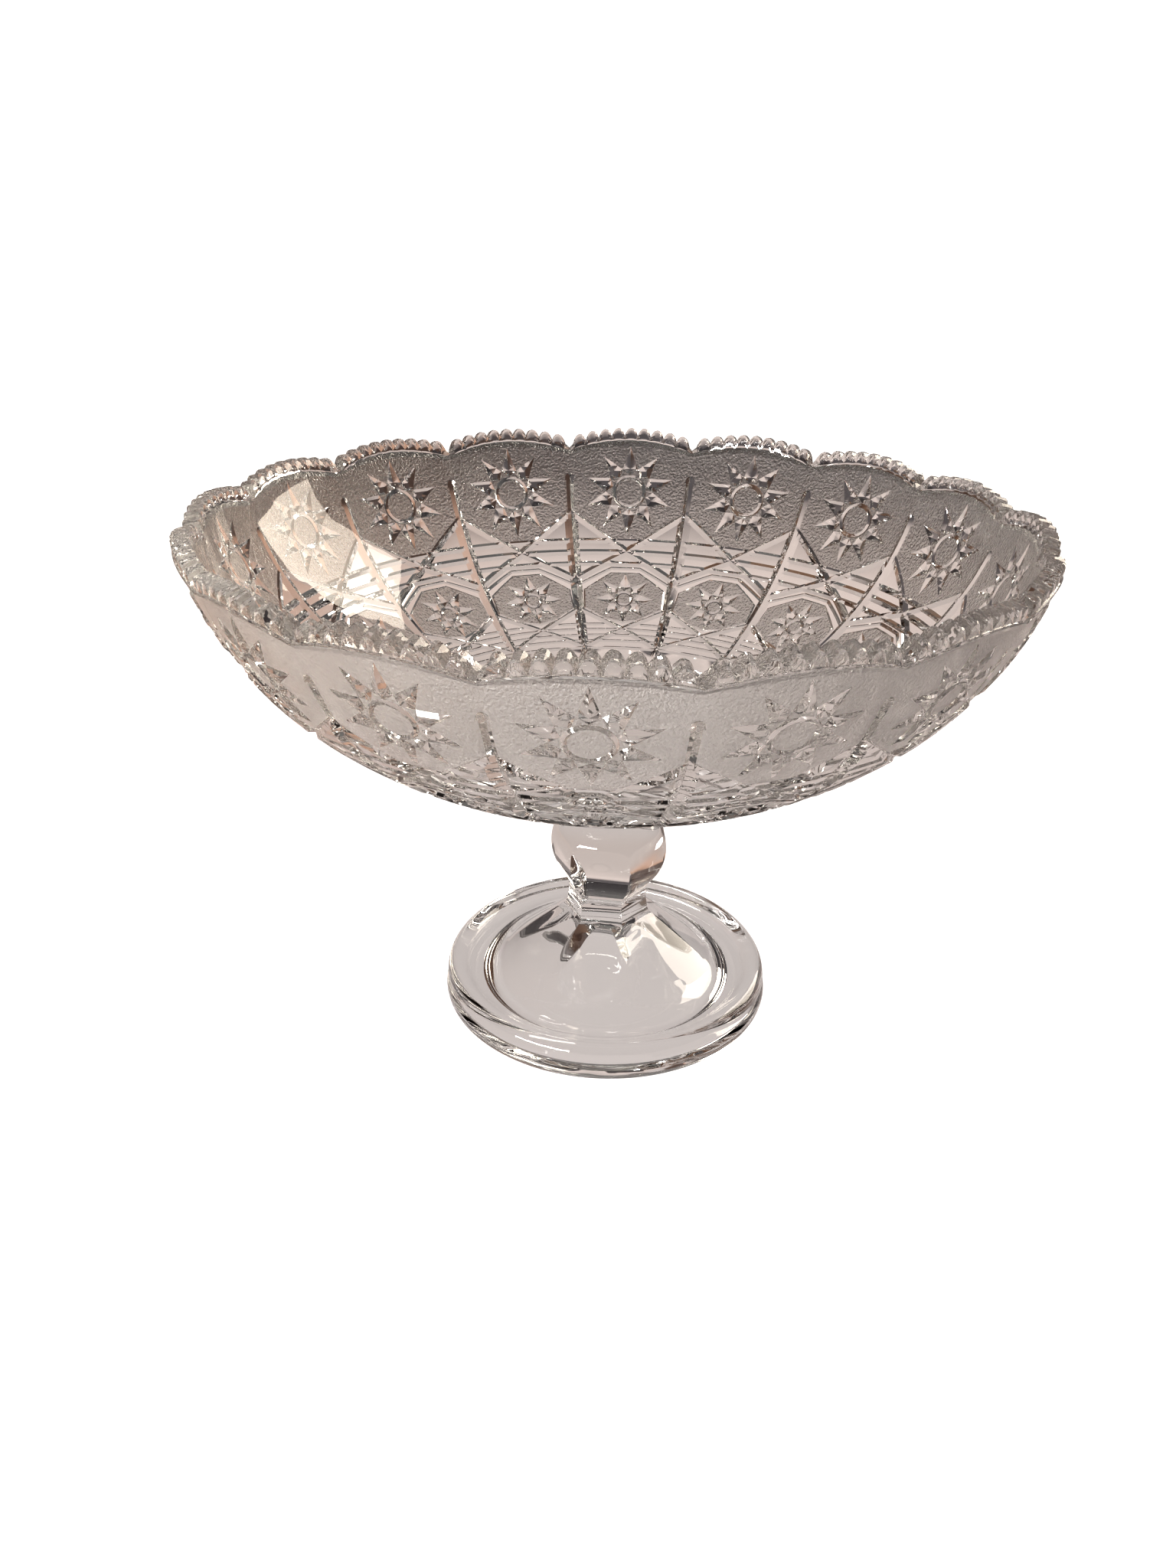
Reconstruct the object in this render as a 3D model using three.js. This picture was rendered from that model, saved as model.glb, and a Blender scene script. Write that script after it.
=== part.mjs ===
// Footed glass punch bowl: a round sixteen-panel bowl with a scalloped rim, a domed foot whose
// stem swells into a faceted ball knop, and the thin bond film that joins the two pressings.
// Units are millimetres. The origin is the centre of the foot's underside and +Z is up.
import * as THREE from "three";

// ---- Driving dimensions -------------------------------------------------------------------

// Bowl
const RIM_RADIUS = 155; // outside, at the tip of a scallop
const BOWL_DEPTH = 109.66; // from the seat under the bowl up to the tip of a scallop
const WALL = 5.5; // pressed wall of the sides
const FLOOR_THICKNESS = 8; // heavier glass in the middle of the bowl
const RIM_BAND = 7; // thickness of the rim
const PANELS = 16; // panels round the bowl, one scallop each
const SCALLOP_RISE = 9; // from a notch up to a scallop's tip
const SCALLOP_BAND = 26; // height of wall that follows the scallops
const RIM_SLOPE = 5; // the rim's inner edge lies this much below its outer edge
const RIB_GROOVE = 1.6; // depth of the mitre cut between two panels
const BOSS_HEIGHT = 4; // from the seat up to the round of the bowl
const BOSS_LEDGE = 1; // the boss is this much wider than the top of the stem
const FLAT_REACH = 0.377; // the wall's curve runs level this far out, as a share of the radius
const BELLY_REACH = 0.918; // the belly pulls the curve this far out, as a share of the radius
const BELLY_RISE = 0.284; // and this high, as a share of the depth
const LIP_WIDTH = 0.6; // share of the rim's band that is level

// Foot
const FOOT_RADIUS = 67.8; // outside, at the lower ring
const REST_WIDTH = 12; // flat ring that stands on the table
const RECESS_DEPTH = 28; // hollow under the foot, at its middle
const RECESS_CROWN = 12; // radius of the hollow's rounded top
const RECESS_EDGE = 4; // height of the hollow's steep lower edge
const RING_HEIGHT = 4; // widest line of the lower ring
const PARTING_HEIGHT = 7; // groove between the two rings of the foot
const PARTING_DEPTH = 1.5; // depth of that groove
const CREST_HEIGHT = 15.5; // top of the rolled upper ring
const CREST_WIDTH = 8.5; // from the outside in to the foot of the roll
const CREST_PLACE = 0.53; // share of that width where the crest lies
const SHOULDER = [0.12, 0.7]; // outer shoulder of the roll, as shares of its width and height
const ROLL_END = 0.6; // height of the roll's inner edge, as a share of the roll's fall
const CHANNEL_WIDTH = 12.3; // shallow channel between the roll and the dome
const CHANNEL_HEIGHT = 13; // bottom of that channel
const DOME_HEIGHT = 39; // where the dome meets the neck
const DOME_EDGE = 1; // the dome starts this much above the channel
const DOME_SAG = 0.53; // height of the dome halfway in, as a share of its rise

// Stem
const STEM_SIDES = 6;
const STEM_TURN = -6; // degrees, the hexagon against the bowl's panels
const NECK_RADIUS = 16.8; // corner radius of the hexagonal neck
const NECK_LENGTH = 11.2;
const NECK_WAIST = 0.4; // the neck draws in this much at its middle
const KNOP_RADIUS = 23.8; // ball
const KNOP_LIP = 0.44; // from the neck up to the round of the ball
const FLAT_FADE = 10; // the ball's six flats fade out this far above its middle
const COLLAR_RADIUS = 14; // waist between the ball and the seat
const COLLAR_LENGTH = 10.25;
const SEAT_RADIUS = 16.5; // flat top of the stem
const SEAT_EDGE = 3; // height of the straight edge under the seat

// Bond
const BOND_FILM = 0.3; // thickness of the cured film
const BOND_INSET = 1; // the film stops this far inside the seat's edge
const SEAT_GAP = 0.02; // clearance on each side of the film

// Fineness
const STEPS_PER_PANEL = 8;
const STEPS_PER_SIDE = 8;
const WALL_STATIONS = 10; // stations up the bowl's wall, outside and inside
const WALL_START = 0.2; // share of the wall's curve where those stations start
const BALL_STATIONS = 6;

// ---- Heights that follow from the stack ---------------------------------------------------

const neckTop = DOME_HEIGHT + NECK_LENGTH;
const ballStart = -Math.acos(NECK_RADIUS / KNOP_RADIUS);
const ballEnd = Math.acos(COLLAR_RADIUS / KNOP_RADIUS);
const knopHeight = neckTop + KNOP_LIP - KNOP_RADIUS * Math.sin(ballStart);
const stemHeight = knopHeight + KNOP_RADIUS * Math.sin(ballEnd) + COLLAR_LENGTH;
const bowlSeat = stemHeight + BOND_FILM + 2 * SEAT_GAP;
const roundHeight = bowlSeat + BOSS_HEIGHT;
const overallHeight = bowlSeat + BOWL_DEPTH;

// ---- Helpers ------------------------------------------------------------------------------

const { clamp, degToRad, lerp, smoothstep } = THREE.MathUtils;
const point = (radius, height) => new THREE.Vector2(radius, height);

// Turns a closed half section about +Z.
function turned(profile, segments) {
  const geometry = new THREE.LatheGeometry(profile, segments);
  geometry.rotateX(Math.PI / 2);
  return geometry;
}

// Moves every vertex of a turned shape. move(radius, azimuth, height, station) gives the new
// radius and height, where station counts along the half section.
function reshape(geometry, stations, move) {
  const place = geometry.attributes.position;
  for (let i = 0; i < place.count; i++) {
    const radius = Math.hypot(place.getX(i), place.getY(i));
    const azimuth = Math.atan2(place.getY(i), place.getX(i));
    const [newRadius, newHeight] = move(radius, azimuth, place.getZ(i), i % stations);
    const scale = radius > 0 ? newRadius / radius : 1;
    place.setXYZ(i, place.getX(i) * scale, place.getY(i) * scale, newHeight);
  }
  geometry.computeVertexNormals();
  return geometry;
}

function glass(name, geometry, tint) {
  const material = new THREE.MeshStandardMaterial({
    color: tint, roughness: 0.05, metalness: 0, transparent: true, opacity: 0.35,
  });
  const mesh = new THREE.Mesh(geometry, material);
  mesh.name = name;
  return mesh;
}

// ---- Bowl ---------------------------------------------------------------------------------

// Outside of the wall: flat under the middle, full in the belly, nearly upright at the rim.
const depth = overallHeight - roundHeight;
const wallCurve = new THREE.CubicBezierCurve(
  point(0, roundHeight),
  point(FLAT_REACH * RIM_RADIUS, roundHeight),
  point(BELLY_REACH * RIM_RADIUS, roundHeight + BELLY_RISE * depth),
  point(RIM_RADIUS, overallHeight),
);

// The stations of the wall from the boss up to the rim, each with its partner on the inside.
function wallStations() {
  return Array.from({ length: WALL_STATIONS }, (_, i) => {
    const share = i / (WALL_STATIONS - 1);
    const t = lerp(WALL_START, 1, share);
    const outside = wallCurve.getPoint(t);
    const along = wallCurve.getTangent(t);
    const wall = lerp(WALL, RIM_BAND, share ** 4);
    return { outside, inside: point(outside.x - along.y * wall, outside.y + along.x * wall) };
  });
}

function bowl() {
  const stations = wallStations();
  const bossRadius = SEAT_RADIUS + BOSS_LEDGE;
  const underside = [
    point(0, bowlSeat),
    point(bossRadius, bowlSeat),
    point(bossRadius + 0.5 * BOSS_HEIGHT, roundHeight),
    ...stations.map((station) => station.outside),
  ];
  const profile = [
    ...underside,
    point(RIM_RADIUS - LIP_WIDTH * RIM_BAND, overallHeight),
    point(RIM_RADIUS - RIM_BAND, overallHeight - RIM_SLOPE),
    ...stations.slice(0, -1).reverse().map((station) => station.inside),
    point(0, roundHeight + FLOOR_THICKNESS),
  ];
  const firstRib = underside.length - WALL_STATIONS;
  const lastRib = underside.length - 2;

  // Scallops lift the rim in the middle of each panel; a mitre groove runs down between panels.
  const shape = turned(profile, PANELS * STEPS_PER_PANEL);
  reshape(shape, profile.length, (radius, azimuth, height, station) => {
    const wave = Math.abs(Math.cos((PANELS / 2) * azimuth));
    const rise = smoothstep(height, overallHeight - SCALLOP_BAND, overallHeight);
    const onRib = wave < 0.01 && station >= firstRib && station <= lastRib;
    return [radius - (onRib ? RIB_GROOVE : 0), height - SCALLOP_RISE * (1 - wave) * rise];
  });
  return glass("bowl", shape, 0xe9ecec);
}

// ---- Foot, stem and knop ------------------------------------------------------------------

function footProfile() {
  const restOuter = FOOT_RADIUS - RING_HEIGHT;
  const restInner = restOuter - REST_WIDTH;
  const rollInner = FOOT_RADIUS - CREST_WIDTH;
  const domeRadius = rollInner - CHANNEL_WIDTH;
  const domeFoot = CHANNEL_HEIGHT + DOME_EDGE;
  const ball = Array.from({ length: BALL_STATIONS }, (_, i) => {
    const angle = lerp(ballStart, ballEnd, i / (BALL_STATIONS - 1));
    return point(KNOP_RADIUS * Math.cos(angle), knopHeight + KNOP_RADIUS * Math.sin(angle));
  });
  return [
    point(0, RECESS_DEPTH),
    point(RECESS_CROWN, RECESS_DEPTH - 0.2 * RECESS_CROWN),
    point(restInner - 0.9 * RECESS_EDGE, RECESS_EDGE),
    point(restInner, 0),
    point(restOuter, 0),
    point(FOOT_RADIUS, RING_HEIGHT),
    point(FOOT_RADIUS - PARTING_DEPTH, PARTING_HEIGHT),
    point(
      FOOT_RADIUS - SHOULDER[0] * CREST_WIDTH,
      lerp(PARTING_HEIGHT, CREST_HEIGHT, SHOULDER[1]),
    ),
    point(FOOT_RADIUS - CREST_PLACE * CREST_WIDTH, CREST_HEIGHT),
    point(rollInner, lerp(CHANNEL_HEIGHT, CREST_HEIGHT, ROLL_END)),
    point(rollInner - 0.5 * CHANNEL_WIDTH, CHANNEL_HEIGHT),
    point(domeRadius, domeFoot),
    point(lerp(domeRadius, NECK_RADIUS, 0.5), lerp(domeFoot, DOME_HEIGHT, DOME_SAG)),
    point(NECK_RADIUS, DOME_HEIGHT),
    point(NECK_RADIUS - NECK_WAIST, DOME_HEIGHT + 0.5 * NECK_LENGTH),
    point(NECK_RADIUS, neckTop),
    ...ball,
    point(SEAT_RADIUS, stemHeight - SEAT_EDGE),
    point(SEAT_RADIUS, stemHeight),
    point(0, stemHeight),
  ];
}

// The neck is a hexagon. It fades out down the dome and, as six flats, over the ball.
function foot() {
  const profile = footProfile();
  const side = (2 * Math.PI) / STEM_SIDES;
  const turn = degToRad(STEM_TURN);
  const shape = turned(profile, STEM_SIDES * STEPS_PER_SIDE);
  shape.rotateZ(turn);
  reshape(shape, profile.length, (radius, azimuth, height) => {
    const facing = azimuth + Math.PI / 2 - turn;
    const offset = facing - side * Math.round(facing / side);
    const flat = Math.cos(side / 2) / Math.cos(offset);
    const onDome = smoothstep(height, CHANNEL_HEIGHT + DOME_EDGE, DOME_HEIGHT);
    const onBall = 1 - smoothstep(height, knopHeight, knopHeight + FLAT_FADE);
    return [radius * lerp(1, flat, clamp(Math.min(onDome, onBall), 0, 1)), height];
  });
  return glass("foot", shape, 0xe6e8e8);
}

// ---- Bond film ----------------------------------------------------------------------------

function bondFilm() {
  const radius = SEAT_RADIUS - BOND_INSET;
  const steps = STEM_SIDES * STEPS_PER_SIDE;
  const geometry = new THREE.CylinderGeometry(radius, radius, BOND_FILM, steps);
  geometry.rotateX(Math.PI / 2);
  const mesh = glass("bond_film", geometry, 0xf4f4ee);
  mesh.position.set(0, 0, stemHeight + SEAT_GAP + BOND_FILM / 2);
  return mesh;
}

// ---- Assembly -----------------------------------------------------------------------------

const group = new THREE.Group();
group.add(foot(), bondFilm(), bowl());
export default group;
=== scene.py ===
"""Footed glass punch bowl: a pressed bowl of sixteen star panels with a toothed, scalloped rim,
joined by a clear film to a domed foot with a faceted ball knop, on a pale studio floor."""
import math
from bisect import bisect_left

import bmesh
import bpy
from mathutils import Matrix, Vector


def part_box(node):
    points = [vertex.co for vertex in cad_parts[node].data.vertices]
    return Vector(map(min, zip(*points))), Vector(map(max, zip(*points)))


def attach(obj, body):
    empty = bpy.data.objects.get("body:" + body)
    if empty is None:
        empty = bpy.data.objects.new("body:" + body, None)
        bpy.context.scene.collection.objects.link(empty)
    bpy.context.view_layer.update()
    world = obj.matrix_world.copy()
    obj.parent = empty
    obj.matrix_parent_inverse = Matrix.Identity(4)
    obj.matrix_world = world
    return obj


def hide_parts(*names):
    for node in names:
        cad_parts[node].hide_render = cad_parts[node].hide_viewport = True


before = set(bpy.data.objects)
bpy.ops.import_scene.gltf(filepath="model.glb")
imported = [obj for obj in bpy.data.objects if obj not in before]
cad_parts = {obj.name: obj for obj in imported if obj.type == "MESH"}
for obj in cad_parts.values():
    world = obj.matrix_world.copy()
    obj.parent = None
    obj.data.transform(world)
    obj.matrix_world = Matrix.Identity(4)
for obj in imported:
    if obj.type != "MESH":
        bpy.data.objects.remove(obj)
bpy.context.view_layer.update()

MM = 0.001
WELD = 0.004  # vertices closer than this, in millimetres, are one
BOWL_LOW, BOWL_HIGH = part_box("bowl")
FOOT_LOW, FOOT_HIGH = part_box("foot")
FILM_LOW, FILM_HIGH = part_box("bond_film")
SEAT_RADIUS = FILM_HIGH.x / MM + 1.0  # the film stops 1 mm inside the seat

bl_info = {
    "name": "Footed Punch Bowl",
    "version": (1, 0, 0),
    "blender": (4, 5, 0),
    "location": "View3D > Sidebar > Punch Bowl",
    "description": "Builds a pressed-glass footed punch bowl and its studio",
    "category": "Object",
}


# ---- Settings -----------------------------------------------------------------------------

def length(name, description, millimetres):
    """A length that the sidebar shows in the scene's unit."""
    return bpy.props.FloatProperty(
        name=name, description=description, default=millimetres * MM, unit="LENGTH",
        subtype="DISTANCE", precision=5,
    )


class BowlShape(bpy.types.PropertyGroup):
    panels: bpy.props.IntProperty(
        name="Panels", description="Panels round the bowl, one scallop each", default=16, min=3)
    teeth: bpy.props.IntProperty(
        name="Teeth", description="Teeth on each scallop of the rim", default=9, min=1)
    rim_band: length("Rim band", "Thickness of the rim", 7.0)
    wall: length("Wall", "Thickness of the side", 5.5)
    floor: length("Floor", "Thickness of the glass in the middle", 8.0)
    boss: length("Boss", "Height from the seat to the round of the bowl", 4.0)
    crown_drop: length("Crown drop", "From a tooth's tip down to the ledge under it", 6.8)
    notch_drop: length("Notch drop", "How much the ledge falls from crown to notch", 4.7)
    tooth: length("Tooth height", "Height of a tooth above the ledge", 4.9)
    field_depth: length("Field depth", "How deep the stippled fields lie", 1.0)
    groove_depth: length("Groove depth", "Depth of the cane grooves", 1.3)
    rib_depth: length("Rib depth", "Depth of the mitre between panels", 2.4)


class FootShape(bpy.types.PropertyGroup):
    steps: bpy.props.IntProperty(
        name="Steps", description="Steps round the foot", default=144, min=24)
    stem_turn: bpy.props.FloatProperty(
        name="Stem turn", description="Turn of the hexagon against the panels",
        default=math.radians(-6), subtype="ANGLE", unit="ROTATION")
    recess: length("Recess", "Depth of the hollow under the foot", 28.0)
    knop_radius: length("Knop radius", "Radius of the ball", 23.8)
    knop_height: length("Knop height", "Height of the ball's middle", 67.5)


class GlassLook(bpy.types.PropertyGroup):
    clear: bpy.props.FloatVectorProperty(
        name="Clear glass", description="Body colour of the glass", subtype="COLOR",
        size=3, default=(0.955, 0.965, 0.962), min=0.0, max=1.0)
    stipple: bpy.props.FloatVectorProperty(
        name="Stippled glass", description="Colour of the stippled fields", subtype="COLOR",
        size=3, default=(0.81, 0.81, 0.805), min=0.0, max=1.0)
    ior: bpy.props.FloatProperty(
        name="Index", description="Index of refraction", default=1.52, min=1.0, max=2.5)


class StudioLook(bpy.types.PropertyGroup):
    floor: bpy.props.FloatVectorProperty(
        name="Floor", description="Colour of the floor", subtype="COLOR", size=3,
        default=(1.0, 0.99, 0.98), min=0.0, max=1.0)
    # The colours below are a glow that the floor shows only through the glass and mirrored in it.
    # This is painted light in place of lamp light. The table colour is the floor's own pinkish
    # tone, painted as lit.
    table: bpy.props.FloatVectorProperty(
        name="Table", description="Floor round the bowl, seen through the glass",
        subtype="COLOR", size=3, default=(0.60, 0.515, 0.48), min=0.0, max=1.0)
    # Painted shadow of the bowl on the floor under it, a darker glow seen only through the glass
    painted_shadow: bpy.props.FloatVectorProperty(
        name="Shade", description="Floor under the bowl, seen through the glass",
        subtype="COLOR", size=3, default=(0.50, 0.455, 0.44), min=0.0, max=1.0)
    # Painted pool of light on the floor beside the foot, a glow seen only through the glass
    painted_light_pool: bpy.props.FloatVectorProperty(
        name="Lit floor", description="Bright floor beside the foot, seen through the glass",
        subtype="COLOR", size=3, default=(0.47, 0.41, 0.385), min=0.0, max=1.0)
    # Painted dimming: the floor's glow fades to this colour far from the bowl
    painted_dim_far_floor: bpy.props.FloatVectorProperty(
        name="Far floor", description="Far part of the floor, seen through the glass",
        subtype="COLOR", size=3, default=(0.11, 0.098, 0.10), min=0.0, max=1.0)
    room: bpy.props.FloatVectorProperty(
        name="Room", description="Walls of the room, seen through the glass",
        subtype="COLOR", size=3, default=(0.045, 0.04, 0.042), min=0.0, max=1.0)
    ceiling: bpy.props.FloatVectorProperty(
        name="Ceiling", description="Top of the room, mirrored in the glass",
        subtype="COLOR", size=3, default=(0.15, 0.145, 0.14), min=0.0, max=1.0)
    camera: bpy.props.FloatVectorProperty(
        name="Camera", description="Place of the camera", subtype="TRANSLATION", unit="LENGTH",
        size=3, default=(0.0178, -0.4482, 0.3164))
    pitch: bpy.props.FloatProperty(
        name="Pitch", description="How far the camera looks down", subtype="ANGLE",
        unit="ROTATION", default=math.radians(26.30))
    heading: bpy.props.FloatProperty(
        name="Heading", description="How far the camera looks to the left", subtype="ANGLE",
        unit="ROTATION", default=math.radians(3.39))
    roll: bpy.props.FloatProperty(
        name="Roll", description="Tilt of the camera", subtype="ANGLE", unit="ROTATION",
        default=math.radians(0.96))
    lens: bpy.props.FloatProperty(
        name="Lens", description="Focal length", subtype="DISTANCE_CAMERA", default=28.74)


# ---- Helpers ------------------------------------------------------------------------------

def mix(low, high, share):
    """Between low and high."""
    return low + (high - low) * share


def ease(low, high, value):
    """0 below low, 1 above high and a smooth step between them."""
    share = min(max((value - low) / (high - low), 0.0), 1.0)
    return share * share * (3.0 - 2.0 * share)


def finish_piece(name, bm, materials, stands_for, crease=math.radians(16)):
    """Turns a closed bmesh into a smooth-shaded object with sharp creases, on the root."""
    if not all(edge.is_manifold for edge in bm.edges):
        raise RuntimeError(f"{name} is not closed")
    for face in bm.faces:
        face.smooth = True
    for edge in bm.edges:
        edge.smooth = edge.calc_face_angle(0.0) <= crease
    mesh = bpy.data.meshes.new(name)
    bm.to_mesh(mesh)
    bm.free()
    piece = bpy.data.objects.new(name, mesh)
    bpy.context.scene.collection.objects.link(piece)
    for material in materials:
        mesh.materials.append(material)
    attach(piece, "root")
    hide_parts(stands_for)
    return piece


# ---- Glass --------------------------------------------------------------------------------

def glass_material(name, colour, ior, roughness, bumps, clearness=1.0):
    """Clear glass. bumps are (scale per metre, strength, height in metres, detail) layers."""
    material = bpy.data.materials.new(name)
    material.use_nodes = True
    nodes, links = material.node_tree.nodes, material.node_tree.links
    shader = nodes["Principled BSDF"]
    shader.inputs["Base Color"].default_value = (*colour, 1.0)
    shader.inputs["Transmission Weight"].default_value = clearness
    shader.inputs["IOR"].default_value = ior
    shader.inputs["Roughness"].default_value = roughness
    place = nodes.new("ShaderNodeTexCoord")
    normal = None
    for scale, strength, height, detail in bumps:
        noise = nodes.new("ShaderNodeTexNoise")
        noise.inputs["Scale"].default_value = scale
        noise.inputs["Detail"].default_value = detail
        links.new(place.outputs["Object"], noise.inputs["Vector"])
        bump = nodes.new("ShaderNodeBump")
        bump.inputs["Strength"].default_value = strength
        bump.inputs["Distance"].default_value = height
        links.new(noise.outputs["Fac"], bump.inputs["Height"])
        if normal:
            links.new(normal, bump.inputs["Normal"])
        normal = bump.outputs["Normal"]
    if normal:
        links.new(normal, shader.inputs["Normal"])
    return material


def clear_glass(look):
    """Polished glass of the bowl, faintly wavy from the press."""
    return glass_material("clear pressed glass", look.clear, look.ior, 0.0,
                          [(55.0, 0.25, 0.0008, 1.0)])


def stippled_glass(look):
    """Rough, finely grained glass of the fields behind the stars."""
    return glass_material("stippled glass", look.stipple, look.ior, 0.33,
                          [(950.0, 1.0, 0.0008, 2.0)], clearness=0.80)


def foot_glass(look):
    """Polished glass of the foot, with slower waves than the bowl's."""
    return glass_material("foot glass", look.clear, look.ior, 0.0,
                          [(38.0, 0.3, 0.001, 1.0)])


# ---- Wall of the bowl: paths down the outside and the inside ------------------------------

class Path:
    """A line of (radius, height) points in millimetres, followed by its length."""

    def __init__(self, points):
        self.points = points
        self.runs = [0.0]
        for a, b in zip(points, points[1:]):
            self.runs.append(self.runs[-1] + math.dist(a, b))
        self.length = self.runs[-1]

    def at(self, run):
        """The point this far along the path, and the direction of the path there."""
        run = min(max(run, 0.0), self.length)
        i = min(max(bisect_left(self.runs, run), 1), len(self.points) - 1)
        (r0, z0), (r1, z1) = self.points[i - 1], self.points[i]
        span = self.runs[i] - self.runs[i - 1]
        share = (run - self.runs[i - 1]) / span
        along = ((r1 - r0) / span, (z1 - z0) / span)
        return (mix(r0, r1, share), mix(z0, z1, share)), along


def bezier(controls, t):
    """The point at t on a cubic curve through four control points."""
    a, b, c, d = controls
    u = 1.0 - t
    weights = (u * u * u, 3 * u * u * t, 3 * u * t * t, t * t * t)
    return tuple(sum(w * p[i] for w, p in zip(weights, (a, b, c, d))) for i in (0, 1))


# The wall's curve: how far out it runs level, and where its belly pulls it, as shares of the
# bowl's radius and depth.
FLAT_REACH, BELLY_REACH, BELLY_RISE = 0.377, 0.918, 0.284
BOSS_LEDGE = 1.0  # the boss is this much wider than the seat
BOSS_FILLET = 3.0
WALL_POINTS = 420


def wall_paths(shape):
    """The outside from the crown of the ledge down to the axis, and the inside likewise."""
    rim, top = BOWL_HIGH.x / MM, BOWL_HIGH.z / MM
    seat = BOWL_LOW.z / MM
    ground = seat + shape.boss / MM
    depth = top - ground
    controls = ((0.0, ground), (FLAT_REACH * rim, ground),
                (BELLY_REACH * rim, ground + BELLY_RISE * depth), (rim, top))
    boss_radius = SEAT_RADIUS + BOSS_LEDGE
    crown = top - shape.crown_drop / MM
    ahead_step = 0.002
    outside, inside = [], []
    for i in range(WALL_POINTS + 1):
        t = 1.0 - i / WALL_POINTS
        r, z = bezier(controls, t)
        if z > crown:
            continue
        if t <= ahead_step:
            break
        ahead = bezier(controls, t - ahead_step)
        run = math.dist((r, z), ahead)
        down = ((ahead[0] - r) / run, (ahead[1] - z) / run)
        inward = (down[1], -down[0])
        rim_share = t ** 6
        floor_share = (1.0 - t) ** 3
        wall = mix(mix(shape.wall, shape.rim_band, rim_share), shape.floor, floor_share) / MM
        if r > boss_radius + BOSS_FILLET + 1.0:
            outside.append((r, z))
        inside.append((r + inward[0] * wall, z + inward[1] * wall))
    for i in range(7):
        angle = math.radians(90 + 90 * i / 6)
        outside.append((boss_radius + BOSS_FILLET * (1.0 + math.cos(angle)),
                        ground - 0.2 + BOSS_FILLET * (math.sin(angle) - 1.0)))
    outside += [(boss_radius - 0.15, seat + 0.25), (boss_radius - 0.5, seat), (0.0, seat)]
    inside = [p for p in inside if p[0] > 1.0] + [(0.0, ground + shape.floor / MM)]
    return Path(outside), Path(inside)


# ---- Pattern of one panel, in millimetres on the flat sheet: x across, v down --------------

RIM_SCALE = 150.0  # radius at which the flat sheet is as wide as the wall
BOSS_RUN = 163.0  # the pattern has faded out here, before the boss
ROOF_FALL = 1.5  # fall of the base star from the middle of a panel to its edge
LAST_GROOVE = 110.5  # the cane band ends here and the base star starts
RIB_FULL_RADIUS = 105.0  # nearer the axis than this the mitres get shallower


class Star:
    """A star of raised points round a plain hole, lying in a stippled field."""

    def __init__(self, centre, stretch, count, hole, ring, shoulder, tip, peak, base):
        self.centre, self.stretch, self.count = centre, stretch, count
        self.hole, self.ring, self.shoulder, self.tip = hole, ring, shoulder, tip
        self.peak, self.base = peak, base
        self.step = 2.0 * math.pi / count
        half = self.step / 2.0
        self.corner = (shoulder * math.cos(half), shoulder * math.sin(half))
        self.inner = ring[1]

    def sheet(self, radius, angle):
        return Vector((self.stretch * radius * math.sin(angle),
                       self.centre - radius * math.cos(angle), 0.0))

    def creases(self):
        """Lines on the right half of the sheet along which the star folds."""
        lines = []
        half = self.step / 2.0
        for i in range(self.count // 2 + 1):
            middle = i * self.step
            tip, heart = self.sheet(self.tip, middle), self.sheet(self.inner, middle)
            peak = self.sheet(self.shoulder, middle)
            lines.append((heart, tip))
            for side in (-half, half):
                shoulder = self.sheet(self.shoulder, middle + side)
                lines += [(tip, shoulder), (heart, shoulder), (peak, shoulder)]
        sides = 2 * self.count
        for radius in (self.hole, self.ring[0], self.ring[1]):
            for i in range(self.count):
                lines.append((self.sheet(radius, i * math.tau / sides),
                              self.sheet(radius, (i + 1) * math.tau / sides)))
        return [(a, b) for a, b in lines if a.x > -0.01 and b.x > -0.01]

    def height(self, x, v):
        """Height of the star over the wall; well below the field outside its points."""
        across, up = x / self.stretch, self.centre - v
        radius = math.hypot(across, up)
        angle = math.atan2(across, up)
        fold = angle - self.step * round(angle / self.step)
        a, b = radius * math.cos(fold), abs(radius * math.sin(fold))
        fall = self.base - self.peak
        facets = []
        for end in (self.tip, self.inner):
            along = fall / (end - self.shoulder)
            corner = (fall - along * (self.corner[0] - self.shoulder)) / self.corner[1]
            facets.append(self.peak + along * (a - self.shoulder) + corner * b)
        side = math.pi / self.count
        turn = angle - side * (math.floor(angle / side) + 0.5)
        flat = radius * math.cos(turn) / math.cos(side / 2.0)
        rise = self.ring[2] - self.base
        if flat < self.ring[0]:
            ring = self.ring[2] - rise * (self.ring[0] - flat) / (self.ring[0] - self.hole)
        else:
            ring = self.ring[2] - rise * (flat - self.ring[0]) / (self.ring[1] - self.ring[0])
        return max(min(facets), ring)


class Field:
    """A recessed stippled field inside straight edges, with a sloping border."""

    def __init__(self, corners, depth, border):
        self.edges = []
        for a, b in zip(corners, corners[1:]):
            a, b = Vector((*a, 0.0)), Vector((*b, 0.0))
            along = (b - a).normalized()
            inward = Vector((-along.y, along.x, 0.0))
            self.edges.append((a, b, inward))
        self.depth, self.border = depth, border

    def creases(self):
        lines = []
        for a, b, inward in self.edges:
            lines += [(a, b), (a + inward * self.border, b + inward * self.border)]
        return lines

    def inset(self, x, v):
        """How far inside the field a point is; negative outside."""
        point = Vector((x, v, 0.0))
        return min((point - a).dot(inward) for a, b, inward in self.edges)

    def height(self, x, v):
        share = min(max(self.inset(x, v) / self.border, 0.0), 1.0)
        return -self.depth * share


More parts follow.
